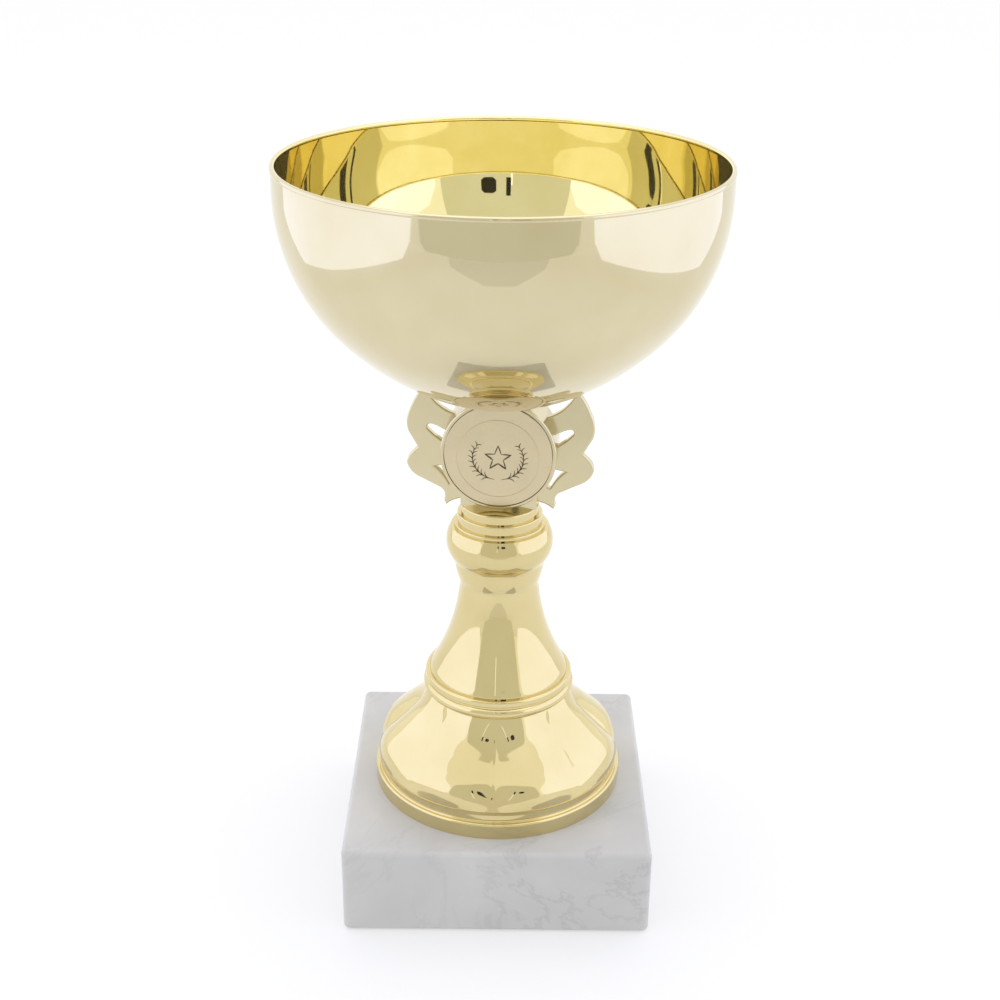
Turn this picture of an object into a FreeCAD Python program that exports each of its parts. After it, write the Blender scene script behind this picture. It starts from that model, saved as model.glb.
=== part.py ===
import FreeCAD, Part
import Sketcher
import math
import os
import re

# A cup trophy: a gilt bowl, an emblem holder with two cut-out wings, a turned stem and a fluted
# foot, clamped on a marble block by one threaded rod that runs up through all of them.
# Frame: millimetres, Z up along the rod, origin at the centre of the block's underside,
# and -Y is the side that shows the emblem.

SIZES = {
    # marble block
    "base_width": 73.2,
    "base_height": 22.5,
    "base_corner_round": 1.6,
    "base_edge_round": 1.2,
    "base_bore_radius": 4.0,
    "base_sink_radius": 11.5,
    "base_sink_depth": 10.0,
    # fluted foot: a hollow moulding with a band, a waist, a lobed dome and a beaded crown
    "foot_height": 29.95,
    "band_radius": 30.7,
    "band_height": 4.0,
    "band_round": 0.5,
    "waist_radius": 29.6,
    "waist_height": 4.6,
    "dome_radius": 29.9,
    "dome_start": 7.0,
    "crown_radius": 17.05,
    "crown_start": 24.9,
    "crown_bead_radius": 1.4,
    "crown_bead_height": 26.5,
    "crown_groove_radius": 17.6,
    "crown_groove_height": 28.2,
    "crown_lip_radius": 17.9,
    "crown_lip_round": 0.6,
    "crease_turn": -2.0,
    "cavity_radius": 27.2,
    "cavity_shoulder_height": 9.6,
    "cavity_top_radius": 14.6,
    "cavity_top_height": 23.8,
    "foot_boss_radius": 6.5,
    "spigot_radius": 13.6,
    "spigot_bore": 11.8,
    "spigot_height": 1.4,
    # stem: turned rings, a collar, a waisted neck and a flared bell, hollow from below
    "stem_height": 44.55,
    "bell_radius": 16.9,
    "bell_curve": 53.6,
    "neck_radius": 9.55,
    "neck_height": 22.9,
    "neck_curve": 5.0,
    "flare_radius": 9.783,
    "flare_height": 24.954,
    "flare_curve": 26.2,
    "cove_radius": 10.811,
    "cove_height": 29.151,
    "cove_curve": 4.0,
    "collar_low_radius": 11.485,
    "collar_low_height": 30.82,
    "collar_curve": 7.025,
    "collar_top_radius": 11.5,
    "collar_top_height": 38.85,
    "ring_large_radius": 10.9,
    "ring_large_height": 39.85,
    "ring_middle_radius": 10.1,
    "ring_middle_height": 42.25,
    "ring_small_radius": 9.3,
    "ring_round": 0.35,
    "bell_cavity_radius": 14.2,
    "bell_cavity_height": 16.5,
    "bell_cavity_top": 8.6,
    "stem_boss_radius": 5.6,
    "socket_radius": 5.3,
    "socket_depth": 1.8,
    # emblem holder: a round drum on a neck, between two flat wings
    "holder_height": 25.5,
    "drum_radius": 13.45,
    "drum_centre": 13.75,
    "drum_depth": 11.6,
    "drum_round": 0.45,
    "recess_radius": 12.65,
    "recess_depth": 1.0,
    "wing_thickness": 2.0,
    "wing_round": 0.4,
    "neck_width": 17.9,
    "neck_depth": 7.4,
    "neck_crown": 25.0,
    "holder_neck_height": 5.0,
    "holder_turn": -5.5,
    "holder_spigot_radius": 5.1,
    "holder_spigot_length": 1.5,
    # emblem and the pad that sticks it in its recess
    "emblem_radius": 12.5,
    "emblem_thickness": 0.8,
    "emblem_round": 0.2,
    "emblem_ring_radius": 9.6,
    "emblem_ring_drop": 0.5,
    "emblem_ring_width": 0.25,
    "emblem_ring_depth": 0.12,
    "star_radius": 3.2,
    "star_waist": 1.3,
    "adhesive_radius": 11.5,
    "adhesive_thickness": 0.3,
    # bowl: one thin sheet with a beaded rim
    "rim_radius": 50.0,
    "rim_bead_radius": 0.6,
    "rim_overhang": 0.1,
    "bowl_sheet": 0.5,
    "bowl_straight": 5.8,
    "bowl_side_curve": 45.14,
    "bowl_side_turn": 45.15,
    "bowl_low_curve": 67.4,
    "bowl_low_turn": 74.56,
    # tie rod, nuts and washers
    "rod_radius": 3.0,
    "rod_bottom": 1.2,
    "rod_chamfer": 0.6,
    "rod_overhang": 3.0,
    "rod_hole_radius": 3.3,
    "nut_flats": 10.0,
    "nut_height": 5.0,
    "nut_bore_radius": 3.05,
    "nut_chamfer_angle": 30.0,
    "washer_thickness": 1.6,
    "washer_bore_radius": 3.2,
    "washer_edge_round": 0.2,
    "small_washer_radius": 6.0,
    "large_washer_radius": 9.0,
}

LOBES = 8
STAR_POINTS = 5
# Sections of the fluted dome: height above the foot's underside, radius at the crest of a lobe
# and radius at the creases between lobes. The two end sections are round.
DOME_SECTIONS = (
    ("dome_start", "dome_radius", "dome_radius"),
    ("9.5", "29.95", "28.9"),
    ("11.7", "29.1", "27.1"),
    ("14.0", "26.9", "24.8"),
    ("17.0", "23.6", "21.9"),
    ("20.5", "20.2", "19.1"),
    ("crown_start + 0.5", "crown_radius + 0.15", "crown_radius + 0.15"),
)

# Heights of the pieces above the underside of the marble block.
FOOT_UNDERSIDE = "base_height"
STEM_UNDERSIDE = FOOT_UNDERSIDE + " + foot_height"
HOLDER_UNDERSIDE = STEM_UNDERSIDE + " + stem_height"
BOWL_UNDERSIDE = HOLDER_UNDERSIDE + " + holder_height"
BOWL_WASHER_UNDERSIDE = BOWL_UNDERSIDE + " + bowl_sheet"
BOWL_NUT_UNDERSIDE = BOWL_WASHER_UNDERSIDE + " + washer_thickness"
BASE_WASHER_UNDERSIDE = "base_sink_depth - washer_thickness"
BASE_NUT_UNDERSIDE = BASE_WASHER_UNDERSIDE + " - nut_height"
# Distance from the axis to the floor of the recess in the drum's face.
RECESS_FLOOR = "drum_depth / 2 - recess_depth"

ALIAS = re.compile(r"[a-z]+(?:_[a-z0-9]+)+")
LEFT, RIGHT = 1, -1

doc = FreeCAD.newDocument("cup_trophy")
sheet = doc.addObject("Spreadsheet::Sheet", "Size")
for row, (alias, size) in enumerate(SIZES.items(), start=1):
    sheet.set(f"A{row}", alias)
    sheet.set(f"B{row}", str(size))
    sheet.setAlias(f"B{row}", alias)
doc.recompute()


def formula(text):
    """A formula in the sheet's names, as an expression that the document binds to the sheet."""
    return ALIAS.sub(lambda name: "Size." + name.group(0), text)


def value(text):
    """The number that a formula gives now."""
    return float(sheet.evalExpression(formula(text)))


def vector(x, y):
    return FreeCAD.Vector(value(x), value(y), 0)


def body(label, underside="0", turn=None):
    """An empty body whose own origin stands at a height on the axis, turned if it says so."""
    made = doc.addObject("PartDesign::Body", label)
    made.Label = label
    made.setExpression("Placement.Base.z", formula(underside))
    if turn:
        made.setExpression("Placement.Rotation.Angle", formula(turn))
    return made


def plane(owner, role):
    return next(item for item in owner.Origin.OriginFeatures if item.Role == role)


def sketch(owner, name, role, lift=None):
    """An empty sketch on one of the body's own origin planes, lifted along its normal."""
    made = owner.newObject("Sketcher::SketchObject", name)
    made.AttachmentSupport = [(plane(owner, role), "")]
    made.MapMode = "FlatFace"
    if lift:
        made.setExpression("AttachmentOffset.Base.z", formula(lift))
    return made


def bind(drawing, kind, where, text):
    """Adds one dimension to a sketch and binds it to a formula."""
    index = drawing.addConstraint(Sketcher.Constraint(kind, *where, value(text)))
    drawing.setExpression(f"Constraints[{index}]", formula(text))


def edge_between(start, end, radius, turn):
    """A straight edge, or an arc of that radius that curves to the left or right on its way."""
    if not turn:
        return Part.LineSegment(start, end)
    chord = end - start
    rise = math.sqrt(max(radius**2 - (chord.Length / 2) ** 2, 0.0))
    side = FreeCAD.Vector(-chord.y, chord.x, 0).normalize()
    centre = (start + end) / 2 + side * (rise * turn)
    first, last = (start, end) if turn == LEFT else (end, start)
    first_angle = math.atan2(first.y - centre.y, first.x - centre.x)
    last_angle = math.atan2(last.y - centre.y, last.x - centre.x)
    if last_angle <= first_angle:
        last_angle += 2 * math.pi
    circle = Part.Circle(centre, FreeCAD.Vector(0, 0, 1), radius)
    return Part.ArcOfCircle(circle, first_angle, last_angle)


def outline(drawing, corners):
    """Draws a closed outline. A corner is (x, y), or (x, y, turn, radius) before an arc."""
    first = drawing.GeometryCount
    places = [vector(corner[0], corner[1]) for corner in corners]
    turns = [corner[2] if len(corner) > 2 else 0 for corner in corners]
    for index, corner in enumerate(corners):
        radius = value(corner[3]) if turns[index] else 0.0
        end = places[(index + 1) % len(corners)]
        drawing.addGeometry(edge_between(places[index], end, radius, turns[index]))
    for index, corner in enumerate(corners):
        edge = first + index
        start_point = 2 if turns[index] == RIGHT else 1
        edge_before = first + (index - 1) % len(corners)
        end_point_before = 1 if turns[index - 1] == RIGHT else 2
        joint = (edge_before, end_point_before, edge, start_point)
        drawing.addConstraint(Sketcher.Constraint("Coincident", *joint))
        bind(drawing, "DistanceX", (-1, 1, edge, start_point), corner[0])
        bind(drawing, "DistanceY", (-1, 1, edge, start_point), corner[1])
        if turns[index]:
            bind(drawing, "Radius", (edge,), corner[3])


def ring(drawing, radius, height="0"):
    """Draws a circle centred on the sketch's vertical axis."""
    circle = Part.Circle(vector("0", height), FreeCAD.Vector(0, 0, 1), value(radius))
    edge = drawing.addGeometry(circle)
    bind(drawing, "DistanceX", (-1, 1, edge, 3), "0")
    bind(drawing, "DistanceY", (-1, 1, edge, 3), height)
    bind(drawing, "Radius", (edge,), radius)


def spin(owner, name, corners, kind="Revolution"):
    """Turns an outline, given as radius and height, right round the body's own Z axis."""
    drawing = sketch(owner, name + "_outline", "XZ_Plane")
    outline(drawing, corners)
    made = owner.newObject("PartDesign::" + kind, name)
    made.Profile = drawing
    made.ReferenceAxis = (drawing, ["V_Axis"])
    made.Angle = 360
    doc.recompute()
    return made


def pad(owner, name, drawing, length, kind="Pad", both_ways=False, backwards=False):
    """Pads or pockets a sketch, along its normal, against it or half each way."""
    made = owner.newObject("PartDesign::" + kind, name)
    made.Profile = drawing
    made.setExpression("Length", formula(length))
    made.SideType = "Symmetric" if both_ways else "One side"
    made.Reversed = backwards
    doc.recompute()
    return made


def rounded(owner, name, radius, chosen):
    """Rounds the edges of the body's last feature that a test picks out."""
    base = owner.Tip
    names = [f"Edge{number}" for number, edge in enumerate(base.Shape.Edges, 1) if chosen(edge)]
    made = owner.newObject("PartDesign::Fillet", name)
    made.Base = (base, names)
    made.setExpression("Radius", formula(radius))
    doc.recompute()
    return made


def is_level_at(edge, *heights):
    """Whether an edge lies flat at one of these heights."""
    box = edge.BoundBox
    return any(abs(box.ZMin - z) < 0.001 and abs(box.ZMax - z) < 0.001 for z in heights)


def make_marble_base():
    """A square block with softened edges, bored through and sunk underneath for the nut."""
    owner = body("marble_base")
    drawing = sketch(owner, "base_outline", "XY_Plane")
    half = "base_width / 2"
    near = "(base_width / 2 - base_corner_round)"
    curve = (LEFT, "base_corner_round")
    outline(drawing, (
        ("-" + near, "-" + half),
        (near, "-" + half, *curve),
        (half, "-" + near),
        (half, near, *curve),
        (near, half),
        ("-" + near, half, *curve),
        ("-" + half, near),
        ("-" + half, "-" + near, *curve),
    ))
    ring(drawing, "base_bore_radius")
    pad(owner, "base_block", drawing, "base_height")
    sink = sketch(owner, "base_sink_outline", "XY_Plane")
    ring(sink, "base_sink_radius")
    pad(owner, "base_sink", sink, "base_sink_depth", kind="Pocket", backwards=True)
    top = value("base_height")
    inner = value("base_sink_radius")
    rounded(owner, "base_edges", "base_edge_round", lambda edge: (
        is_level_at(edge, 0.0, top) and not is_within(edge, inner)
    ))


def is_within(edge, radius):
    """Whether an edge stays within a distance of the Z axis."""
    return all(math.hypot(v.X, v.Y) < radius + 0.01 for v in edge.Vertexes)


def lobed_section(owner, name, height, crest, crease):
    """A closed ring of equal arcs that bulge outwards between creases."""
    drawing = sketch(owner, name, "XY_Plane", lift=height)
    half_turn = f"{180 / LOBES}"
    half_chord = f"(({crease}) * sin({half_turn}))"
    bulge = f"(({crest}) - ({crease}) * cos({half_turn}))"
    curve = f"({half_chord}^2 + {bulge}^2) / (2 * {bulge})"
    corners = []
    for lobe in range(LOBES):
        turn = f"({lobe * 360 / LOBES} - 90 + crease_turn)"
        corners.append((f"({crease}) * cos{turn}", f"({crease}) * sin{turn}", LEFT, curve))
    outline(drawing, corners)
    return drawing


def make_foot():
    """A hollow moulding: plain band and waist, fluted dome and beaded crown, with a rod boss."""
    owner = body("foot", FOOT_UNDERSIDE)
    spin(owner, "foot_band", (
        ("0", "0"),
        ("band_radius", "0"),
        ("band_radius", "band_height - band_round", LEFT, "band_round"),
        ("band_radius - band_round", "band_height"),
        ("waist_radius + 0.2", "band_height", RIGHT, "waist_height - band_height"),
        ("waist_radius", "waist_height"),
        ("waist_radius", "dome_start - 1.2", RIGHT, "3.0"),
        ("dome_radius", "dome_start"),
        ("0", "dome_start"),
    ))
    sections = [
        lobed_section(owner, f"dome_section_{number}", *section)
        for number, section in enumerate(DOME_SECTIONS, start=1)
    ]
    dome = owner.newObject("PartDesign::AdditiveLoft", "dome")
    dome.Profile = sections[0]
    dome.Sections = sections[1:]
    doc.recompute()
    spin(owner, "crown", (
        ("0", "crown_start"),
        ("crown_radius", "crown_start"),
        ("crown_radius", "crown_bead_height - crown_bead_radius", LEFT, "crown_bead_radius"),
        ("crown_radius + crown_bead_radius", "crown_bead_height", LEFT, "crown_bead_radius"),
        ("crown_groove_radius", "crown_bead_height + sqrt(crown_bead_radius^2 - "
                                "(crown_groove_radius - crown_radius)^2)"),
        ("crown_groove_radius", "crown_groove_height", RIGHT, "crown_lip_round"),
        ("crown_lip_radius", "crown_groove_height + 0.3"),
        ("crown_lip_radius", "foot_height - crown_lip_round", LEFT, "crown_lip_round"),
        ("crown_lip_radius - crown_lip_round", "foot_height"),
        ("spigot_radius", "foot_height"),
        ("spigot_radius", "foot_height + spigot_height"),
        ("spigot_bore", "foot_height + spigot_height"),
        ("spigot_bore", "foot_height"),
        ("0", "foot_height"),
    ))
    spin(owner, "foot_cavity", (
        ("foot_boss_radius", "0"),
        ("cavity_radius", "0"),
        ("cavity_radius", "cavity_shoulder_height"),
        ("cavity_top_radius", "cavity_top_height"),
        ("foot_boss_radius", "cavity_top_height"),
    ), kind="Groove")
    bore(owner, "foot_bore", "0", "foot_height")


def bore(owner, name, start, length):
    """The clearance hole for the tie rod, up through a body from a height."""
    drawing = sketch(owner, name + "_outline", "XY_Plane", lift=start)
    ring(drawing, "rod_hole_radius")
    pad(owner, name, drawing, length, kind="Pocket", backwards=True)


def make_stem():
    """A turned moulding: flared bell, waisted neck, collar and three stepped rings."""
    owner = body("stem", STEM_UNDERSIDE)
    small = "ring_round"
    spin(owner, "stem_turning", (
        ("rod_hole_radius", "0"),
        ("bell_radius", "0"),
        ("bell_radius", "0.5", RIGHT, "bell_curve"),
        ("neck_radius", "neck_height", RIGHT, "neck_curve"),
        ("flare_radius", "flare_height", LEFT, "flare_curve"),
        ("cove_radius", "cove_height", RIGHT, "cove_curve"),
        ("collar_low_radius", "collar_low_height", LEFT, "collar_curve"),
        ("collar_top_radius", "collar_top_height"),
        ("ring_large_radius", "collar_top_height"),
        ("ring_large_radius", f"ring_large_height - {small}", LEFT, small),
        (f"ring_large_radius - {small}", "ring_large_height"),
        ("ring_middle_radius", "ring_large_height"),
        ("ring_middle_radius", f"ring_middle_height - {small}", LEFT, small),
        (f"ring_middle_radius - {small}", "ring_middle_height"),
        ("ring_small_radius", "ring_middle_height"),
        ("ring_small_radius", f"stem_height - {small}", LEFT, small),
        (f"ring_small_radius - {small}", "stem_height"),
        ("socket_radius", "stem_height"),
        ("socket_radius", "stem_height - socket_depth"),
        ("rod_hole_radius", "stem_height - socket_depth"),
    ))
    spin(owner, "bell_cavity", (
        ("stem_boss_radius", "0"),
        ("bell_cavity_radius + 1.2", "0"),
        ("bell_cavity_radius", "2.0", RIGHT, "bell_curve"),
        ("bell_cavity_top", "bell_cavity_height"),
        ("stem_boss_radius", "bell_cavity_height"),
    ), kind="Groove")


def wing(drawing):
    """The cut-out plate on one side of the drum: its outline and the two openings in it."""
    outline(drawing, (
        ("7.5", "1.2"),
        ("10.2", "0.3", RIGHT, "6"),
        ("12.7", "-1.2"),
        ("13.2", "0.1", RIGHT, "2.35"),
        ("14.2", "3.2"),
        ("18.8", "5.5", LEFT, "5.1"),
        ("21.9", "9.0", LEFT, "3.2"),
        ("21.4", "10.9", LEFT, "9"),
        ("19.25", "13.1"),
        ("21.4", "16.9", LEFT, "7.4"),
        ("21.4", "21.8", LEFT, "26"),
        ("18.1", "28.1"),
        ("16.9", "27.0", RIGHT, "10.8"),
        ("10.5", "21.8"),
        ("8.5", "20.5"),
    ))
    outline(drawing, (
        ("12.2", "14.1"),
        ("15.5", "16.45"),
        ("16.82", "17.73", LEFT, "0.8"),
        ("16.04", "19.07"),
        ("14.8", "18.7"),
        ("12.2", "17.3"),
    ))
    outline(drawing, (
        ("9.7", "4.9"),
        ("11.9", "4.2", RIGHT, "12"),
        ("15.3", "8.5"),
        ("11.6", "9.2"),
    ))


def is_facing(edge, depth):
    """Whether an edge lies in one of the two upright planes at that distance from the axis."""
    box = edge.BoundBox
    return box.YLength < 0.001 and abs(abs(box.YMin) - depth) < 0.001


def make_emblem_holder():
    """A drum with a recessed face, on a round neck, between two mirrored cut-out wings."""
    owner = body("emblem_holder", HOLDER_UNDERSIDE, "holder_turn")
    half_flat = "sqrt(drum_radius^2 - (holder_height - drum_centre)^2)"
    face = sketch(owner, "drum_outline", "XZ_Plane")
    outline(face, (
        (half_flat, "holder_height"),
        ("-" + half_flat, "holder_height", LEFT, "drum_radius"),
        ("0", "drum_centre - drum_radius", LEFT, "drum_radius"),
    ))
    pad(owner, "drum", face, "drum_depth", both_ways=True)
    rim = value("drum_depth / 2")
    rounded(owner, "drum_edges", "drum_round", lambda edge: is_facing(edge, rim))
    plate = sketch(owner, "wing_outline", "XZ_Plane")
    wing(plate)
    right_wing = pad(owner, "right_wing", plate, "wing_thickness", both_ways=True)
    mirror = owner.newObject("PartDesign::Mirrored", "left_wing")
    mirror.Originals = [right_wing]
    mirror.MirrorPlane = (plane(owner, "YZ_Plane"), [""])
    owner.Tip = mirror
    doc.recompute()
    skin = value("wing_thickness / 2")
    middle = FreeCAD.Vector(0, 0, value("drum_centre"))
    reach = value("drum_radius") + 0.01
    rounded(owner, "wing_edges", "wing_round", lambda edge: is_facing(edge, skin) and any(
        math.hypot(vertex.X, vertex.Z - middle.z) > reach for vertex in edge.Vertexes
    ))
    neck = sketch(owner, "neck_outline", "XY_Plane")
    outline(neck, (
        ("-neck_width / 2", "-neck_depth / 2", LEFT, "neck_crown"),
        ("neck_width / 2", "-neck_depth / 2"),
        ("neck_width / 2", "neck_depth / 2", LEFT, "neck_crown"),
        ("-neck_width / 2", "neck_depth / 2"),
    ))
    pad(owner, "holder_neck", neck, "holder_neck_height")
    spin(owner, "holder_spigot", (
        ("0", "-holder_spigot_length"),
        ("holder_spigot_radius", "-holder_spigot_length"),
        ("holder_spigot_radius", "0"),
        ("0", "0"),
    ))
    recess = sketch(owner, "recess_outline", "XZ_Plane", lift="drum_depth / 2")
    ring(recess, "recess_radius", "drum_centre")
    pad(owner, "recess", recess, "recess_depth", kind="Pocket")
    bore(owner, "holder_bore", "-holder_spigot_length", "holder_spigot_length + holder_height")


def disc_on_face(label, radius, thickness, back):
    """An upright disc on the holder's face, its back at a distance from the axis."""
    owner = body(label, HOLDER_UNDERSIDE + " + drum_centre", "holder_turn")
    drawing = sketch(owner, label + "_outline", "XZ_Plane", lift=back)
    ring(drawing, radius)
    pad(owner, label + "_disc", drawing, thickness)
    return owner


def make_adhesive():
    """The thin sticky pad between the recess and the emblem."""
    disc_on_face("emblem_adhesive", "adhesive_radius", "adhesive_thickness", RECESS_FLOOR)


def make_emblem():
    """A stamped disc with a fine ring and a star, both sunk in its face."""
    back = RECESS_FLOOR + " + adhesive_thickness"
    front = back + " + emblem_thickness"
    owner = disc_on_face("emblem", "emblem_radius", "emblem_thickness", back)
    face = value(front)
    rounded(owner, "emblem_edge", "emblem_round", lambda edge: is_facing(edge, face))
    ring_line = sketch(owner, "ring_outline", "XZ_Plane", lift=front)
    ring(ring_line, "emblem_ring_radius", "-emblem_ring_drop")
    ring(ring_line, "emblem_ring_radius - emblem_ring_width", "-emblem_ring_drop")
    pad(owner, "ring_line", ring_line, "emblem_ring_depth", kind="Pocket")
    star = sketch(owner, "star_outline", "XZ_Plane", lift=front)
    corners = []
    for point in range(STAR_POINTS):
        turn = 90 + point * 360 / STAR_POINTS
        for radius, angle in (("star_radius", turn), ("star_waist", turn + 180 / STAR_POINTS)):
            corners.append((f"{radius} * cos({angle})",
                            f"{radius} * sin({angle}) - emblem_ring_drop"))
    outline(star, corners)
    pad(owner, "star", star, "emblem_ring_depth", kind="Pocket")


def make_bowl():
    """One thin spun sheet: flat seat, two tangent curves, straight side and beaded rim."""
    owner = body("bowl", BOWL_UNDERSIDE)
    wall = "(rim_radius - rim_overhang)"
    side_x = f"({wall} - bowl_side_curve)"
    low_x = f"({side_x} + (bowl_side_curve - bowl_low_curve) * cos(bowl_side_turn))"
    low_z = "(bowl_low_curve * sin(bowl_low_turn))"
    side_z = f"({low_z} - (bowl_low_curve - bowl_side_curve) * sin(bowl_side_turn))"
    rim_z = f"({side_z} + bowl_straight)"
    inner_side = "(bowl_side_curve - bowl_sheet)"
    inner_low = "(bowl_low_curve - bowl_sheet)"
    bead = "rim_bead_radius"
    outer_drop = f"sqrt({bead}^2 - ({bead} - rim_overhang)^2)"
    inner_drop = f"sqrt({bead}^2 - ({bead} - rim_overhang - bowl_sheet)^2)"
    spin(owner, "bowl_sheet_metal", (
        ("rod_hole_radius", "0"),
        (f"{low_x} + bowl_low_curve * cos(bowl_low_turn)", "0", LEFT, "bowl_low_curve"),
        (f"{side_x} + bowl_side_curve * cos(bowl_side_turn)",
         f"{side_z} - bowl_side_curve * sin(bowl_side_turn)", LEFT, "bowl_side_curve"),
        (wall, side_z),
        (wall, f"{rim_z} - {bead} - {outer_drop}", LEFT, bead),
        (f"rim_radius - {bead}", rim_z, LEFT, bead),
        (f"rim_radius - 2 * {bead}", f"{rim_z} - {bead}", LEFT, bead),
        (f"{wall} - bowl_sheet", f"{rim_z} - {bead} - {inner_drop}"),
        (f"{wall} - bowl_sheet", side_z, RIGHT, inner_side),
        (f"{side_x} + {inner_side} * cos(bowl_side_turn)",
         f"{side_z} - {inner_side} * sin(bowl_side_turn)", RIGHT, inner_low),
        (f"{low_x} + sqrt({inner_low}^2 - ({low_z} - bowl_sheet)^2)", "bowl_sheet"),
        ("rod_hole_radius", "bowl_sheet"),
    ))


def make_tie_rod():
    """The threaded rod, drawn at its outside diameter, with chamfered ends."""
    owner = body("tie_rod", "rod_bottom")
    length = f"({BOWL_NUT_UNDERSIDE} + nut_height + rod_overhang - rod_bottom)"
    spin(owner, "rod", (
        ("0", "0"),
        ("rod_radius - rod_chamfer", "0"),
        ("rod_radius", "rod_chamfer"),
        ("rod_radius", f"{length} - rod_chamfer"),
        ("rod_radius - rod_chamfer", length),
        ("0", length),
    ))


def make_nut(label, underside):
    """A hexagon nut whose corners are chamfered at both ends."""
    owner = body(label, underside)
    drawing = sketch(owner, label + "_outline", "XY_Plane")
    corner = "(nut_flats / 2 / cos(30))"
    outline(drawing, [
        (f"{corner} * cos({turn})", f"{corner} * sin({turn})") for turn in range(0, 360, 60)
    ])
    ring(drawing, "nut_bore_radius")
    pad(owner, label + "_hexagon", drawing, "nut_height")
    beyond = f"({corner} + 1)"
    fall = f"(({beyond} - nut_flats / 2) * tan(nut_chamfer_angle))"
    spin(owner, label + "_upper_chamfer", (
        ("nut_flats / 2", "nut_height"),
        (beyond, f"nut_height - {fall}"),
        (beyond, "nut_height"),
    ), kind="Groove")
    spin(owner, label + "_lower_chamfer", (
        ("nut_flats / 2", "0"),
        (beyond, "0"),
        (beyond, fall),
    ), kind="Groove")


def make_washer(label, underside, radius):
    """A flat washer with its outer edges rounded by the punch."""
    owner = body(label, underside)
    curve = (LEFT, "washer_edge_round")
    spin(owner, label + "_ring", (
        ("washer_bore_radius", "0"),
        (f"{radius} - washer_edge_round", "0", *curve),
        (radius, "washer_edge_round"),
        (radius, "washer_thickness - washer_edge_round", *curve),
        (f"{radius} - washer_edge_round", "washer_thickness"),
        ("washer_bore_radius", "washer_thickness"),
    ))


def cut_volume(feature):
    """How much a pocket or groove has taken off the feature before it."""
    return feature.BaseFeature.Shape.Volume - feature.Shape.Volume


def check(document):
    """Stops if any object failed, any cut took nothing off or any piece isn't one valid solid."""
    for item in document.Objects:
        if {"Invalid", "Error"} & set(item.State):
            raise RuntimeError(f"{item.Name} failed: {item.State}")
        if item.TypeId in ("PartDesign::Pocket", "PartDesign::Groove") and cut_volume(item) <= 0:
            raise RuntimeError(f"{item.Name} cuts nothing")
        if item.TypeId == "PartDesign::Body":
            shape = item.Shape
            if shape.isNull() or not shape.isValid() or len(shape.Solids) != 1:
                raise RuntimeError(f"{item.Label} isn't one valid solid")


def write(document):
    """Writes each piece to a file named after it."""
    os.makedirs("parts", exist_ok=True)
    for item in document.Objects:
        if item.TypeId == "PartDesign::Body":
            item.Shape.exportStep(f"parts/{item.Label}.step")
            print(f"{item.Label}: {item.Shape.Volume / 1000:.2f} cm3")


make_marble_base()
make_foot()
make_stem()
make_emblem_holder()
make_adhesive()
make_emblem()
make_bowl()
make_tie_rod()
make_washer("bowl_washer", BOWL_WASHER_UNDERSIDE, "small_washer_radius")
make_nut("bowl_nut", BOWL_NUT_UNDERSIDE)
make_washer("base_washer", BASE_WASHER_UNDERSIDE, "large_washer_radius")
make_nut("base_nut", BASE_NUT_UNDERSIDE)
doc.recompute()
check(doc)
write(doc)
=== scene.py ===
import math

import bmesh
import bpy
from mathutils import Matrix, Vector


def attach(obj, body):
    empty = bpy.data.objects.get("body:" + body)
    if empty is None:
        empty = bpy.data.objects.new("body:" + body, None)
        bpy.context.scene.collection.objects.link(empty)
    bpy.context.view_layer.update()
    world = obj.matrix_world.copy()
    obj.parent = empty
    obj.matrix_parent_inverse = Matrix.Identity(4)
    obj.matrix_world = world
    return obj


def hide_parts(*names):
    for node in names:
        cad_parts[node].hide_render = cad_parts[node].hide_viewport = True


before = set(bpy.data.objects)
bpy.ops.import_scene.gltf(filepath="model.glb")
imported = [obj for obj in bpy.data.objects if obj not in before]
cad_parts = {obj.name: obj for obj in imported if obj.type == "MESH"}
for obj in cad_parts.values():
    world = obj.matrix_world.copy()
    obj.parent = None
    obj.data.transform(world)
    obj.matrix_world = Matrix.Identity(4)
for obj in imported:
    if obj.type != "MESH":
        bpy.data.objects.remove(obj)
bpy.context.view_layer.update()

# Shapes are in millimetres, as in the CAD model, and the studio is in metres.
MM = 0.001
LEFT, RIGHT = 1, -1     # the side that an arc curves to
LOBES = 8
AROUND = 48 * LOBES     # facets round a turned piece
CREASE_TURN = math.radians(-92.0)
HOLDER_TURN = math.radians(-5.5)
ROD_HOLE = 3.3

# Heights of the stacked pieces, each on top of the one before.
FOOT_HEIGHT, STEM_HEIGHT, HOLDER_HEIGHT = 29.95, 44.55, 25.5
FOOT_Z = 22.5
STEM_Z = FOOT_Z + FOOT_HEIGHT
HOLDER_Z = STEM_Z + STEM_HEIGHT
BOWL_Z = HOLDER_Z + HOLDER_HEIGHT

# The emblem's centre above the table, and its face in front of the holder's middle.
DRUM_Z = HOLDER_Z + 13.75
EMBLEM_FACE = 5.9


# ---------------------------------------------------------------- node helpers

def new_material(name):
    """An empty node material with its Principled shader and output."""
    material = bpy.data.materials.new(name)
    material.use_nodes = True
    nodes = material.node_tree.nodes
    return material, nodes, material.node_tree.links, nodes["Principled BSDF"]


def object_coordinates(nodes):
    return nodes.new("ShaderNodeTexCoord").outputs["Object"]


def noise(nodes, links, where, scale, detail=4.0, rough=0.5, distortion=0.0):
    """A noise pattern whose scale is in cycles per metre."""
    made = nodes.new("ShaderNodeTexNoise")
    made.inputs["Scale"].default_value = scale
    made.inputs["Detail"].default_value = detail
    made.inputs["Roughness"].default_value = rough
    made.inputs["Distortion"].default_value = distortion
    links.new(where, made.inputs["Vector"])
    return made.outputs["Fac"]


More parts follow.
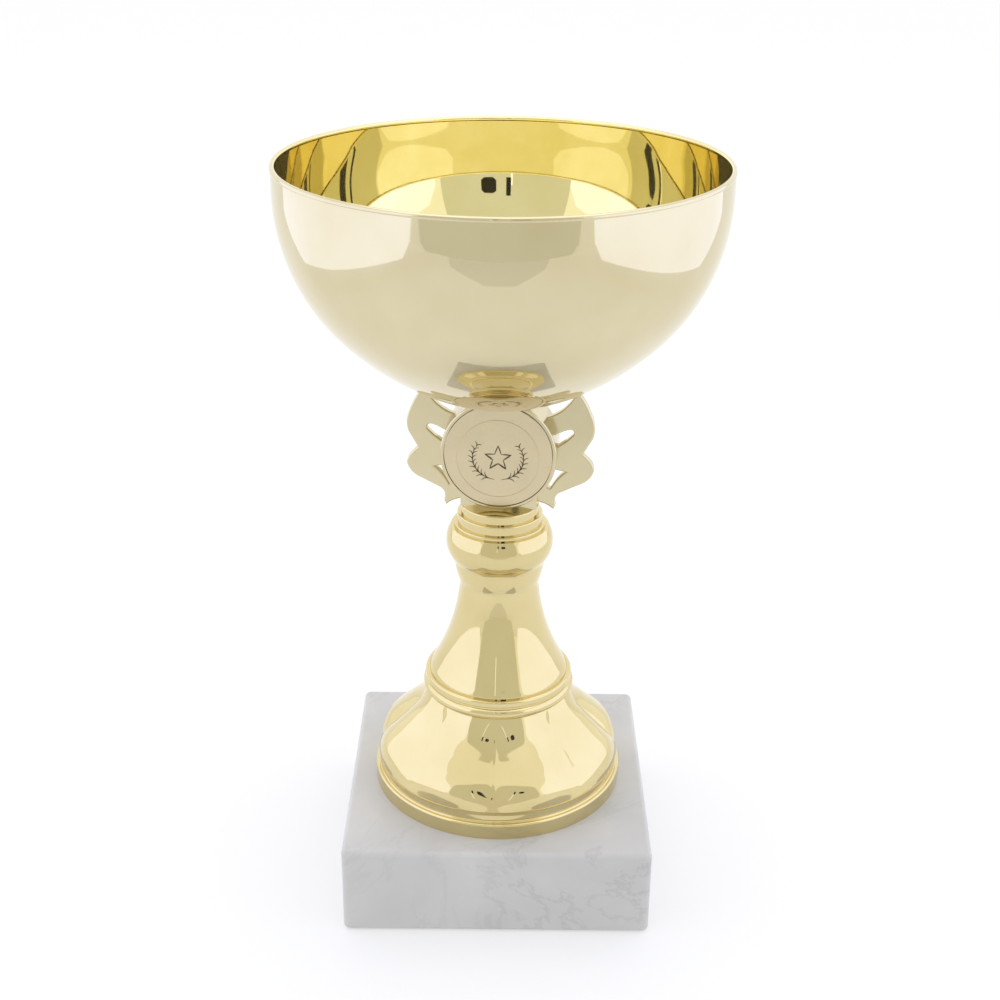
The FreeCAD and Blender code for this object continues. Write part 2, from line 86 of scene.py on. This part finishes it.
def remap(nodes, links, source, low, high, to_low, to_high):
    """Maps a value from one range to another, clamped."""
    made = nodes.new("ShaderNodeMapRange")
    made.inputs["From Min"].default_value = low
    made.inputs["From Max"].default_value = high
    made.inputs["To Min"].default_value = to_low
    made.inputs["To Max"].default_value = to_high
    links.new(source, made.inputs["Value"])
    return made.outputs["Result"]


def mix_colours(nodes, links, share, first, second):
    """Mixes two colours, or a colour output and a colour, by a share."""
    made = nodes.new("ShaderNodeMix")
    made.data_type = "RGBA"
    links.new(share, made.inputs["Factor"])
    for socket, colour in ((made.inputs[6], first), (made.inputs[7], second)):
        if isinstance(colour, tuple):
            socket.default_value = (*colour, 1.0)
        else:
            links.new(colour, socket)
    return made.outputs[2]


def stretched(nodes, links, where, scale):
    """Coordinates stretched by a factor along each axis."""
    made = nodes.new("ShaderNodeMapping")
    made.inputs["Scale"].default_value = scale
    links.new(where, made.inputs["Vector"])
    return made.outputs["Vector"]


def bump(nodes, links, shader, height, strength, distance):
    """Roughens the shading with a height pattern, at most a distance in metres deep."""
    made = nodes.new("ShaderNodeBump")
    made.inputs["Strength"].default_value = strength
    made.inputs["Distance"].default_value = distance
    links.new(height, made.inputs["Height"])
    links.new(made.outputs["Normal"], shader.inputs["Normal"])


def reckon(nodes, links, operation, first, second=0.0):
    """One step of arithmetic on a value, with a number or another value."""
    made = nodes.new("ShaderNodeMath")
    made.operation = operation
    links.new(first, made.inputs[0])
    if isinstance(second, float):
        made.inputs[1].default_value = second
    else:
        links.new(second, made.inputs[1])
    return made.outputs[0]


# ------------------------------------------------------------------- materials

def gilt(name, bright, deep, gloss, dull, waviness, lines=0.0):
    """Mirror-bright plating: slightly uneven in tone, with faint haze, ripples and spin lines."""
    material, nodes, links, shader = new_material(name)
    where = object_coordinates(nodes)
    tone = remap(nodes, links, noise(nodes, links, where, 55.0, 3.0), 0.35, 0.7, 0.0, 1.0)
    links.new(mix_colours(nodes, links, tone, bright, deep), shader.inputs["Base Color"])
    haze = noise(nodes, links, where, 160.0, 6.0, 0.6)
    links.new(remap(nodes, links, haze, 0.4, 0.75, gloss, dull), shader.inputs["Roughness"])
    ripple = noise(nodes, links, where, 70.0, 2.0)
    along_z = stretched(nodes, links, where, (0.02, 0.02, 1.0))
    spun = reckon(nodes, links, "MULTIPLY", noise(nodes, links, along_z, 2600.0, 2.0), lines)
    height = reckon(nodes, links, "ADD", spun, ripple)
    bump(nodes, links, shader, height, waviness, 0.0004)
    shader.inputs["Metallic"].default_value = 0.96
    return material


def marble(name):
    """Honed pale marble: cloudy greys, thin wandering veins, a few dark specks, fine grain."""
    material, nodes, links, shader = new_material(name)
    where = object_coordinates(nodes)
    cloud = noise(nodes, links, where, 26.0, 6.0, 0.6, 0.6)
    base = mix_colours(nodes, links, remap(nodes, links, cloud, 0.35, 0.7, 0.0, 1.0),
                       (0.595, 0.584, 0.566), (0.505, 0.503, 0.497))
    tilted = nodes.new("ShaderNodeMapping")
    tilted.inputs["Rotation"].default_value = (0.5, 0.35, 0.9)
    links.new(where, tilted.inputs["Vector"])
    wander = noise(nodes, links, stretched(nodes, links, tilted.outputs["Vector"],
                                           (1.0, 0.45, 0.7)), 34.0, 8.0, 0.62, 1.4)
    from_middle = reckon(nodes, links, "ABSOLUTE",
                         reckon(nodes, links, "SUBTRACT", wander, 0.5))
    vein = remap(nodes, links, from_middle, 0.0, 0.022, 1.0, 0.0)
    patch = remap(nodes, links, noise(nodes, links, where, 18.0, 2.0), 0.42, 0.66, 0.0, 0.55)
    veined = mix_colours(nodes, links, reckon(nodes, links, "MULTIPLY", vein, patch),
                         base, (0.41, 0.41, 0.412))
    cells = nodes.new("ShaderNodeTexVoronoi")
    cells.inputs["Scale"].default_value = 85.0
    links.new(where, cells.inputs["Vector"])
    speck = remap(nodes, links, cells.outputs["Distance"], 0.03, 0.06, 1.0, 0.0)
    rare = reckon(nodes, links, "GREATER_THAN", noise(nodes, links, where, 40.0, 1.0), 0.62)
    dark = reckon(nodes, links, "MULTIPLY", speck, rare)
    links.new(mix_colours(nodes, links, dark, veined, (0.16, 0.155, 0.15)),
              shader.inputs["Base Color"])
    grain = noise(nodes, links, where, 900.0, 4.0, 0.6)
    links.new(remap(nodes, links, grain, 0.3, 0.7, 0.34, 0.5), shader.inputs["Roughness"])
    bump(nodes, links, shader, grain, 0.12, 0.0002)
    shader.inputs["Specular IOR Level"].default_value = 0.45
    shader.inputs["Subsurface Weight"].default_value = 0.12
    shader.inputs["Subsurface Scale"].default_value = 0.002
    shader.inputs["Subsurface Radius"].default_value = (1.0, 0.95, 0.9)
    return material


def stamped_foil(name):
    """Satin gilt aluminium foil with a fine rolled grain."""
    material, nodes, links, shader = new_material(name)
    where = object_coordinates(nodes)
    rolled = noise(nodes, links, stretched(nodes, links, where, (1.0, 1.0, 14.0)), 420.0, 5.0, 0.6)
    blotch = noise(nodes, links, where, 130.0, 3.0)
    tone = remap(nodes, links, blotch, 0.3, 0.7, 0.0, 1.0)
    links.new(mix_colours(nodes, links, tone, (0.70, 0.60, 0.40), (0.65, 0.56, 0.37)),
              shader.inputs["Base Color"])
    links.new(remap(nodes, links, rolled, 0.3, 0.7, 0.26, 0.4), shader.inputs["Roughness"])
    bump(nodes, links, shader, rolled, 0.1, 0.0001)
    shader.inputs["Metallic"].default_value = 1.0
    return material


def engraving(name):
    """The dark oxide in the stamped lines, a little uneven."""
    material, nodes, links, shader = new_material(name)
    where = object_coordinates(nodes)
    tone = remap(nodes, links, noise(nodes, links, where, 700.0, 3.0), 0.35, 0.65, 0.0, 1.0)
    links.new(mix_colours(nodes, links, tone, (0.05, 0.035, 0.018), (0.17, 0.125, 0.06)),
              shader.inputs["Base Color"])
    links.new(remap(nodes, links, tone, 0.0, 1.0, 0.45, 0.65), shader.inputs["Roughness"])
    shader.inputs["Metallic"].default_value = 0.4
    return material


def foam(name):
    """White closed-cell foam."""
    material, nodes, links, shader = new_material(name)
    cells = nodes.new("ShaderNodeTexVoronoi")
    cells.inputs["Scale"].default_value = 3000.0
    links.new(object_coordinates(nodes), cells.inputs["Vector"])
    tone = remap(nodes, links, cells.outputs["Distance"], 0.1, 0.7, 0.0, 1.0)
    links.new(mix_colours(nodes, links, tone, (0.72, 0.72, 0.70), (0.86, 0.86, 0.84)),
              shader.inputs["Base Color"])
    bump(nodes, links, shader, tone, 0.4, 0.0001)
    shader.inputs["Roughness"].default_value = 0.9
    return material


def zinc(name):
    """Bright zinc plating with a faint bluish and yellowish passivation and fine scratches."""
    material, nodes, links, shader = new_material(name)
    where = object_coordinates(nodes)
    tint = remap(nodes, links, noise(nodes, links, where, 240.0, 4.0, 0.6), 0.35, 0.65, 0.0, 1.0)
    links.new(mix_colours(nodes, links, tint, (0.62, 0.63, 0.66), (0.68, 0.66, 0.60)),
              shader.inputs["Base Color"])
    scratch = noise(nodes, links, stretched(nodes, links, where, (1.0, 12.0, 3.0)), 900.0, 5.0)
    links.new(remap(nodes, links, scratch, 0.3, 0.7, 0.2, 0.42), shader.inputs["Roughness"])
    bump(nodes, links, shader, scratch, 0.15, 0.0001)
    shader.inputs["Metallic"].default_value = 1.0
    return material


# The bowl is one plated sheet, but its inside gets a brighter, yellower copy of the plating:
# painted reflection, standing in for the light the bowl mirrors back and forth within itself.
GILT_BOWL = gilt("gilt_steel_outside", (0.70, 0.625, 0.41), (0.66, 0.58, 0.36),
                 0.03, 0.07, 0.05, lines=0.02)
GILT_BOWL_INSIDE_PAINTED_REFLECTION = gilt("gilt_steel_inside_painted_reflection", (0.88, 0.785, 0.42), (0.83, 0.725, 0.34),
                        0.02, 0.05, 0.04, lines=0.03)
GILT_MOULDING = gilt("gilt_plastic", (0.74, 0.63, 0.34), (0.69, 0.575, 0.285),
                     0.035, 0.08, 0.08)
GILT_FLAT = gilt("gilt_plastic_flat", (0.68, 0.60, 0.39), (0.64, 0.565, 0.355),
                 0.12, 0.2, 0.08)
MARBLE = marble("pale_marble")
FOIL = stamped_foil("emblem_foil")
ENGRAVING = engraving("engraved_lines")
FOAM = foam("adhesive_foam")
ZINC = zinc("zinc_plating")


# -------------------------------------------------------------------- geometry

def arc(start, end, radius, turn):
    """Points from start to just before end along an arc that curves to one side."""
    (x0, y0), (x1, y1) = start, end
    chord = math.hypot(x1 - x0, y1 - y0)
    rise = math.sqrt(max(radius ** 2 - chord ** 2 / 4, 0.0)) * turn
    cx = (x0 + x1) / 2 - (y1 - y0) / chord * rise
    cy = (y0 + y1) / 2 + (x1 - x0) / chord * rise
    first = math.atan2(y0 - cy, x0 - cx)
    sweep = 2 * math.asin(min(1.0, chord / 2 / radius)) * turn
    steps = max(4, math.ceil(abs(math.degrees(sweep)) / 1.5), math.ceil(chord / 1.5))
    return [(cx + radius * math.cos(first + sweep * i / steps),
             cy + radius * math.sin(first + sweep * i / steps)) for i in range(steps)]


def straight(start, end):
    """Points from start to just before end, crowded at both ends to hold the shading."""
    length = math.dist(start, end)
    edge = min(0.12, length / 5)
    count = max(1, math.ceil((length - 2 * edge) / 2.0))
    along = [0.0] + [edge + (length - 2 * edge) * i / count for i in range(count + 1)]
    return [(start[0] + (end[0] - start[0]) * d / length,
             start[1] + (end[1] - start[1]) * d / length) for d in along]


def traced(corners, closed=True):
    """The points of an outline. A corner is (r, z), or (r, z, turn, radius) before an arc.

    An open outline stops just before its last corner.
    """
    points = []
    for index, corner in enumerate(corners if closed else corners[:-1]):
        start, end = corner[:2], corners[(index + 1) % len(corners)][:2]
        points += arc(start, end, corner[3], corner[2]) if len(corner) > 2 else straight(start, end)
    return points


def lobed(crest, crease, angle):
    """Radius of a ring of equal arcs that bulge between creases, at an angle round it."""
    if crest - crease < 1e-6:
        return crest
    half = math.pi / LOBES
    off = (angle - CREASE_TURN) % (2 * half) - half
    centre = (crest ** 2 - crease ** 2) / (2 * (crest - crease * math.cos(half)))
    return centre * math.cos(off) + math.sqrt(
        (crest - centre) ** 2 - (centre * math.sin(off)) ** 2)


def finished(name, mesh, sharp, slot, *nodes):
    """A piece that is smooth up to an angle in degrees, and stands for its CAD nodes."""
    mesh.polygons.foreach_set("use_smooth", [True] * len(mesh.polygons))
    mesh.set_sharp_from_angle(angle=math.radians(sharp))
    piece = bpy.data.objects.new(name, mesh)
    bpy.context.scene.collection.objects.link(piece)
    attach(piece, "root")
    if nodes:
        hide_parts(*nodes)
    return piece


def turned(name, node, rings, lift, sharp, slot, materials, inside_from=math.inf):
    """A closed ring of profile points, each (crest, crease, z), swept round the axis.

    The faces from the profile point inside_from onwards have the second material.
    """
    verts, faces, kinds = [], [], []
    for crest, crease, z in rings:
        for step in range(AROUND):
            angle = CREASE_TURN + 2 * math.pi * step / AROUND
            radius = lobed(crest, crease, angle)
            verts.append((radius * math.cos(angle) * MM, radius * math.sin(angle) * MM,
                          (z + lift) * MM))
    for index in range(len(rings)):
        after = (index + 1) % len(rings)
        for step in range(AROUND):
            onward = (step + 1) % AROUND
            faces.append((index * AROUND + step, index * AROUND + onward,
                          after * AROUND + onward, after * AROUND + step))
            kinds.append(int(index >= inside_from))
    mesh = bpy.data.meshes.new(name)
    mesh.from_pydata(verts, [], faces)
    for material in materials:
        mesh.materials.append(material)
    mesh.polygons.foreach_set("material_index", kinds)
    mesh.update()
    return finished(name, mesh, sharp, slot, node)


def plain(points):
    """Profile points without lobes."""
    return [(r, r, z) for r, z in points]


def dome_rings(sections, per_section=12):
    """Smoothly blended lobed sections, each (z, crest, crease), from the second to the last."""
    rings = []
    for index in range(len(sections) - 1):
        for step in range(per_section):
            share = step / per_section
            rings.append(tuple(
                hermite([s[column] for s in sections], [s[0] for s in sections], index, share)
                for column in (1, 2, 0)))
    rings.append((sections[-1][1], sections[-1][2], sections[-1][0]))
    return rings


def hermite(values, places, index, share):
    """Cubic blend between two of a row of values at uneven places."""
    def slope(at):
        low, high = max(at - 1, 0), min(at + 1, len(values) - 1)
        return (values[high] - values[low]) / (places[high] - places[low])
    width = places[index + 1] - places[index]
    s2, s3 = share ** 2, share ** 3
    return ((2 * s3 - 3 * s2 + 1) * values[index] + (s3 - 2 * s2 + share) * width * slope(index)
            + (3 * s2 - 2 * s3) * values[index + 1] + (s3 - s2) * width * slope(index + 1))


def make_foot():
    """The hollow fluted foot: band and waist, then eight lobes, then the beaded crown."""
    dome_z, dome_radius, crown_z = 7.0, 29.9, 25.0
    bead, bead_radius, groove_radius, bead_z = 1.4, 17.05, 17.6, 26.5
    groove_z = bead_z + math.sqrt(bead ** 2 - (groove_radius - bead_radius) ** 2)
    below = traced([
        (6.5, 0.0), (6.5, 23.8), (14.6, 23.8), (27.2, 9.6), (27.2, 0.0), (30.7, 0.0),
        (30.7, 3.5, LEFT, 0.5), (30.2, 4.0), (29.8, 4.0, RIGHT, 0.6), (29.6, 4.6),
        (29.6, 5.8, RIGHT, 3.0), (dome_radius, dome_z)], closed=False)
    sections = [(dome_z, dome_radius, dome_radius), (9.5, 29.95, 28.9), (11.7, 29.1, 27.1),
                (14.0, 26.9, 24.8), (17.0, 23.6, 21.9), (20.5, 20.2, 19.1), (25.4, 17.2, 17.2)]
    dome = [ring for ring in dome_rings(sections) if ring[2] < crown_z]
    above = traced([
        (bead_radius, bead_z - bead, LEFT, bead), (bead_radius + bead, bead_z, LEFT, bead),
        (groove_radius, groove_z), (17.6, 28.2, RIGHT, 0.6), (17.9, 28.5),
        (17.9, 29.35, LEFT, 0.6), (17.3, FOOT_HEIGHT), (13.6, FOOT_HEIGHT), (13.6, 31.35),
        (11.8, 31.35), (11.8, FOOT_HEIGHT), (ROD_HOLE, FOOT_HEIGHT), (ROD_HOLE, 0.0)],
        closed=False)
    rings = plain(below) + dome + plain(above + [(ROD_HOLE, 0.0)])
    return turned("gilt_foot", "foot", rings, FOOT_Z, 33, "gilt_plastic", [GILT_MOULDING])


def make_stem():
    """The hollow turned stem: bell, waisted neck, collar and three stepped rings."""
    rings = plain(traced([
        (ROD_HOLE, 0.0), (5.6, 0.0), (5.6, 16.5), (8.6, 16.5, LEFT, 53.6), (14.2, 2.0),
        (15.4, 0.0), (16.9, 0.0), (16.9, 0.5, RIGHT, 53.6), (9.55, 22.9, RIGHT, 5.0),
        (9.783, 24.954, LEFT, 26.2), (10.811, 29.151, RIGHT, 4.0),
        (11.485, 30.82, LEFT, 7.025), (11.5, 38.85), (10.9, 38.85),
        (10.9, 39.5, LEFT, 0.35), (10.55, 39.85), (10.1, 39.85), (10.1, 41.9, LEFT, 0.35),
        (9.75, 42.25), (9.3, 42.25), (9.3, 44.2, LEFT, 0.35), (8.95, STEM_HEIGHT),
        (5.3, STEM_HEIGHT), (5.3, 42.75), (ROD_HOLE, 42.75)]))
    return turned("gilt_stem", "stem", rings, STEM_Z, 33, "gilt_plastic", [GILT_MOULDING])


def make_bowl():
    """The spun bowl: a flat seat, two arcs, a straight wall and a beaded rim."""
    mouth, wall, side, low, sheet, bead = 50.0, 49.9, 45.14, 67.4, 0.5, 0.6
    points_to_inside = 14       # from the top of the bead to the wall's inner side
    side_turn, low_turn = math.radians(45.15), math.radians(74.56)
    side_x = wall - side
    low_x = side_x + (side - low) * math.cos(side_turn)
    low_z = low * math.sin(low_turn)
    side_z = low_z - (low - side) * math.sin(side_turn)
    rim_z = side_z + 5.8
    proud = mouth - wall
    outer_drop = math.sqrt(bead ** 2 - (bead - proud) ** 2)
    inner_drop = math.sqrt(bead ** 2 - (bead - proud - sheet) ** 2)
    points = traced([
        (ROD_HOLE, 0.0),
        (low_x + low * math.cos(low_turn), 0.0, LEFT, low),
        (side_x + side * math.cos(side_turn), side_z - side * math.sin(side_turn), LEFT, side),
        (wall, side_z),
        (wall, rim_z - bead - outer_drop, LEFT, bead),
        (mouth - bead, rim_z, LEFT, bead),
        (mouth - 2 * bead, rim_z - bead, LEFT, bead),
        (wall - sheet, rim_z - bead - inner_drop),
        (wall - sheet, side_z, RIGHT, side - sheet),
        (side_x + (side - sheet) * math.cos(side_turn),
         side_z - (side - sheet) * math.sin(side_turn), RIGHT, low - sheet),
        (low_x + math.sqrt((low - sheet) ** 2 - (low_z - sheet) ** 2), sheet),
        (ROD_HOLE, sheet)])
    top = max(range(len(points)), key=lambda index: points[index][1])
    # The faces inside the bowl take the brightened plating copy, a painted reflection of the light
    # bouncing within the bowl.
    return turned("gilt_bowl", "bowl", plain(points), BOWL_Z, 40, "gilt_steel",
                  [GILT_BOWL, GILT_BOWL_INSIDE_PAINTED_REFLECTION], top + points_to_inside)


def make_rod():
    """The M6 rod with its rolled thread, and a chamfer at each end."""
    bottom, top, pitch, around = 1.2, 132.6, 1.0, 40
    end_radius, chamfer, root_radius, thread = 2.4, 0.6, 2.45, 0.55
    steps = round((top - bottom) / pitch * 8)
    verts, faces = [(0.0, 0.0, bottom * MM)], []
    for level in range(steps + 1):
        z = bottom + (top - bottom) * level / steps
        limit = end_radius + min(z - bottom, top - z, chamfer)
        for step in range(around):
            wave = abs(((z / pitch - step / around) % 1.0) * 2 - 1)
            flank = min(1.0, max(0.0, wave * 1.35 - 0.15))
            radius = min(limit, root_radius + thread * flank)
            angle = 2 * math.pi * step / around
            verts.append((radius * math.cos(angle) * MM, radius * math.sin(angle) * MM, z * MM))
    verts.append((0.0, 0.0, top * MM))
    for step in range(around):
        onward = (step + 1) % around
        faces.append((0, 1 + onward, 1 + step))
        for level in range(steps):
            base = 1 + level * around
            faces.append((base + step, base + onward, base + around + onward, base + around + step))
        base = 1 + steps * around
        faces.append((base + step, base + onward, len(verts) - 1))
    mesh = bpy.data.meshes.new("threaded_rod")
    mesh.from_pydata(verts, [], faces)
    mesh.materials.append(ZINC)
    return finished("threaded_rod", mesh, 60, "zinc_steel", "tie_rod")


# ----------------------------------------------------- the emblem's line motif

def on_emblem(u, v, proud):
    """A point at (u, v) mm on the emblem's turned face, a little in front of it."""
    y = -(EMBLEM_FACE + proud)
    c, s = math.cos(HOLDER_TURN), math.sin(HOLDER_TURN)
    return ((u * c - y * s) * MM, (u * s + y * c) * MM, (DRUM_Z + v) * MM)


def stroke(shape, points, width):
    """Adds a flat ribbon along a line of (u, v) points, narrower at both ends."""
    last = len(points) - 1
    sides = []
    for index, (u, v) in enumerate(points):
        before, after = points[max(index - 1, 0)], points[min(index + 1, last)]
        du, dv = after[0] - before[0], after[1] - before[1]
        size = math.hypot(du, dv)
        half = width / 2 * (0.45 + 0.55 * math.sin(math.pi * index / last))
        sides.append([(u - dv / size * half * k, v + du / size * half * k) for k in (1, -1)])
    rows = [[shape.verts.new(on_emblem(*point, proud)) for proud in (0.0, 0.03) for point in pair]
            for pair in sides]
    for a, b in zip(rows, rows[1:]):
        for i, j in ((0, 1), (1, 3), (3, 2), (2, 0)):
            shape.faces.new((a[i], a[j], b[j], b[i]))
    for row in (rows[0], rows[-1]):
        shape.faces.new((row[0], row[1], row[3], row[2]))


def make_motif():
    """A generic star between two laurel sprays, drawn in thin stamped lines."""
    shape = bmesh.new()
    centre_v, star_tip, star_notch, star_line = -0.5, 3.2, 1.3, 0.3
    spray_across, spray_up, spray_line, leaf_line = 5.9, 5.3, 0.24, 0.22
    leaf_length, leaf_swell = 1.9, 0.34
    star = []
    for point in range(10):
        angle = math.radians(90 + 36 * point)
        radius = star_tip if point % 2 == 0 else star_notch
        star.append((radius * math.cos(angle), radius * math.sin(angle) + centre_v))
    for start, end in zip(star, star[1:] + star[:1]):
        stroke(shape, [(start[0] + (end[0] - start[0]) * t / 4,
                        start[1] + (end[1] - start[1]) * t / 4) for t in range(5)], star_line)
    for side in (-1, 1):
        spray = [math.radians(-82 + 9 * step) for step in range(13)]
        stroke(shape, [(side * spray_across * math.cos(a), spray_up * math.sin(a) + centre_v)
                       for a in spray], spray_line)
        for leaf in range(9):
            at = math.radians(-70 + 12.5 * leaf)
            root = (side * spray_across * math.cos(at), spray_up * math.sin(at) + centre_v)
            for lean in (-1, 1):
                heading = at + math.radians(90 - 38 * lean)
                tip = leaf_length - 0.06 * leaf
                across = (-math.sin(heading), math.cos(heading))
                edge = []
                for step in range(9):
                    t = step / 8
                    swell = leaf_swell * math.sin(math.pi * t) * lean
                    edge.append((root[0] + side * (math.cos(heading) * tip * t
                                                   + across[0] * swell),
                                 root[1] + math.sin(heading) * tip * t + across[1] * swell))
                stroke(shape, edge, leaf_line)
    mesh = bpy.data.meshes.new("emblem_motif")
    bmesh.ops.recalc_face_normals(shape, faces=shape.faces)
    shape.to_mesh(mesh)
    shape.free()
    mesh.materials.append(ENGRAVING)
    return finished("emblem_motif", mesh, 30, "emblem_aluminium")


make_foot()
make_stem()
make_bowl()
make_rod()
make_motif()

CARRIED = {
    "marble_base": MARBLE,
    "emblem_holder": GILT_FLAT,
    "emblem_adhesive": FOAM,
    "emblem": FOIL,
    "bowl_washer": ZINC,
    "bowl_nut": ZINC,
    "base_washer": ZINC,
    "base_nut": ZINC,
}
for node, material in CARRIED.items():
    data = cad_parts[node].data
    data.materials.clear()
    data.materials.append(material)


# ------------------------------------------------------------ studio and camera

def glow(name, albedo, colour, strength):
    """A card's even light, which the plating mirrors."""
    material, _, _, shader = new_material(name)
    shader.inputs["Base Color"].default_value = (albedo, albedo, albedo, 1.0)
    shader.inputs["Roughness"].default_value = 0.9
    shader.inputs["Specular IOR Level"].default_value = 0.0
    shader.inputs["Emission Color"].default_value = (*colour, 1.0)
    shader.inputs["Emission Strength"].default_value = strength
    return material


def card(name, corners, material, in_shot=False):
    """A flat studio card through the given points, seen only in the plating unless in shot."""
    mesh = bpy.data.meshes.new(name)
    mesh.from_pydata([Vector(corner) for corner in corners], [], [tuple(range(len(corners)))])
    mesh.materials.append(material)
    made = bpy.data.objects.new(name, mesh)
    made.visible_camera = in_shot
    bpy.context.scene.collection.objects.link(made)
    return made


def upright(depth, outline):
    """The corners of a card that faces the object from in front, from its (x, z) outline."""
    return [(x, depth, z) for x, z in outline]


def clipped(low, high, cut):
    """The outline of an octagon between two corners, given as (across, up)."""
    (a0, b0), (a1, b1) = low, high
    return [(a0 + cut, b0), (a1 - cut, b0), (a1, b0 + cut), (a1, b1 - cut),
            (a1 - cut, b1), (a0 + cut, b1), (a0, b1 - cut), (a0, b0 + cut)]


FLOOR_WHITE = glow("floor_white", 0.5, (1.0, 1.0, 1.0), 0.42)
FLOOR_GREY = glow("floor_grey", 0.3, (1.0, 1.0, 1.0), 0.5)
SOFT_BOX = glow("soft_box_light", 0.0, (0.93, 0.96, 1.18), 1.46)
GREY_CARD = glow("grey_card", 0.0, (1.0, 1.0, 0.93), 0.79)
TOP_LIGHT = glow("top_light", 0.0, (1.0, 0.99, 0.96), 1.7)
BLACK = glow("black_card", 0.01, (0.0, 0.0, 0.0), 0.0)

FLOOR_REACH = 6.0
FLOOR_Z = -0.0002       # just under the block, so that the two faces don't coincide
PATCH_Z = 0.0005
BOX_ACROSS = 0.25
TOP_LIGHT_Z = 0.9

card("floor", [(x * FLOOR_REACH, y * FLOOR_REACH, FLOOR_Z)
               for x, y in ((-1, -1), (1, -1), (1, 1), (-1, 1))], FLOOR_WHITE, in_shot=True)
floor_front = card("floor_front", [(x, y, PATCH_Z) for x, y in (
    (-0.6, -1.2), (-0.16, -0.36), (-0.04, -0.27), (0.03, -0.27), (0.13, -0.36), (0.6, -1.2))],
    FLOOR_GREY)
floor_front.visible_diffuse = floor_front.visible_shadow = False
for side, name in ((-1, "left"), (1, "right")):
    card("soft_box_" + name, [(side * BOX_ACROSS, y, z) for y, z in
                              clipped((-0.30, 0.04), (0.18, 0.32), 0.06)], SOFT_BOX)
card("front_card", upright(-0.44, clipped((-0.36, 0.005), (0.32, 0.62), 0.05)), GREY_CARD)
card("light_gap", upright(-0.435, clipped((-0.042, 0.139), (-0.033, 0.29), 0.001)), SOFT_BOX)
card("camera_body", upright(-0.37, clipped((0.026, 0.24), (0.084, 0.31), 0.012)), BLACK)
card("stand", upright(-0.37, [(-0.03, 0.24), (-0.012, 0.24), (-0.012, 0.32), (-0.03, 0.32)]),
     BLACK)
card("top_light", [(x, y, TOP_LIGHT_Z) for x, y in
                   ((-0.5, -0.3), (-0.5, 0.5), (0.5, 0.5), (0.5, -0.3))], TOP_LIGHT)

world = bpy.data.worlds.new("studio")
world.use_nodes = True
sky = world.node_tree.nodes["Background"]
sky.inputs["Color"].default_value = (1.0, 1.0, 1.0, 1.0)
sky.inputs["Strength"].default_value = 1.14
bpy.context.scene.world = world

CAMERA_PLACE = (0.0, -0.33834, 0.25052)
CAMERA_TILT, CAMERA_ROLL = math.radians(65.62), math.radians(0.55)

lens = bpy.data.cameras.new("camera")
lens.lens = 56.665
lens.sensor_width = 36.0
lens.clip_start = 0.01
camera = bpy.data.objects.new("camera", lens)
bpy.context.scene.collection.objects.link(camera)
camera.matrix_world = (Matrix.Translation(CAMERA_PLACE)
                       @ Matrix.Rotation(CAMERA_TILT, 4, "X")
                       @ Matrix.Rotation(CAMERA_ROLL, 4, "Z"))
bpy.context.scene.camera = camera
bpy.context.scene.view_settings.view_transform = "Standard"
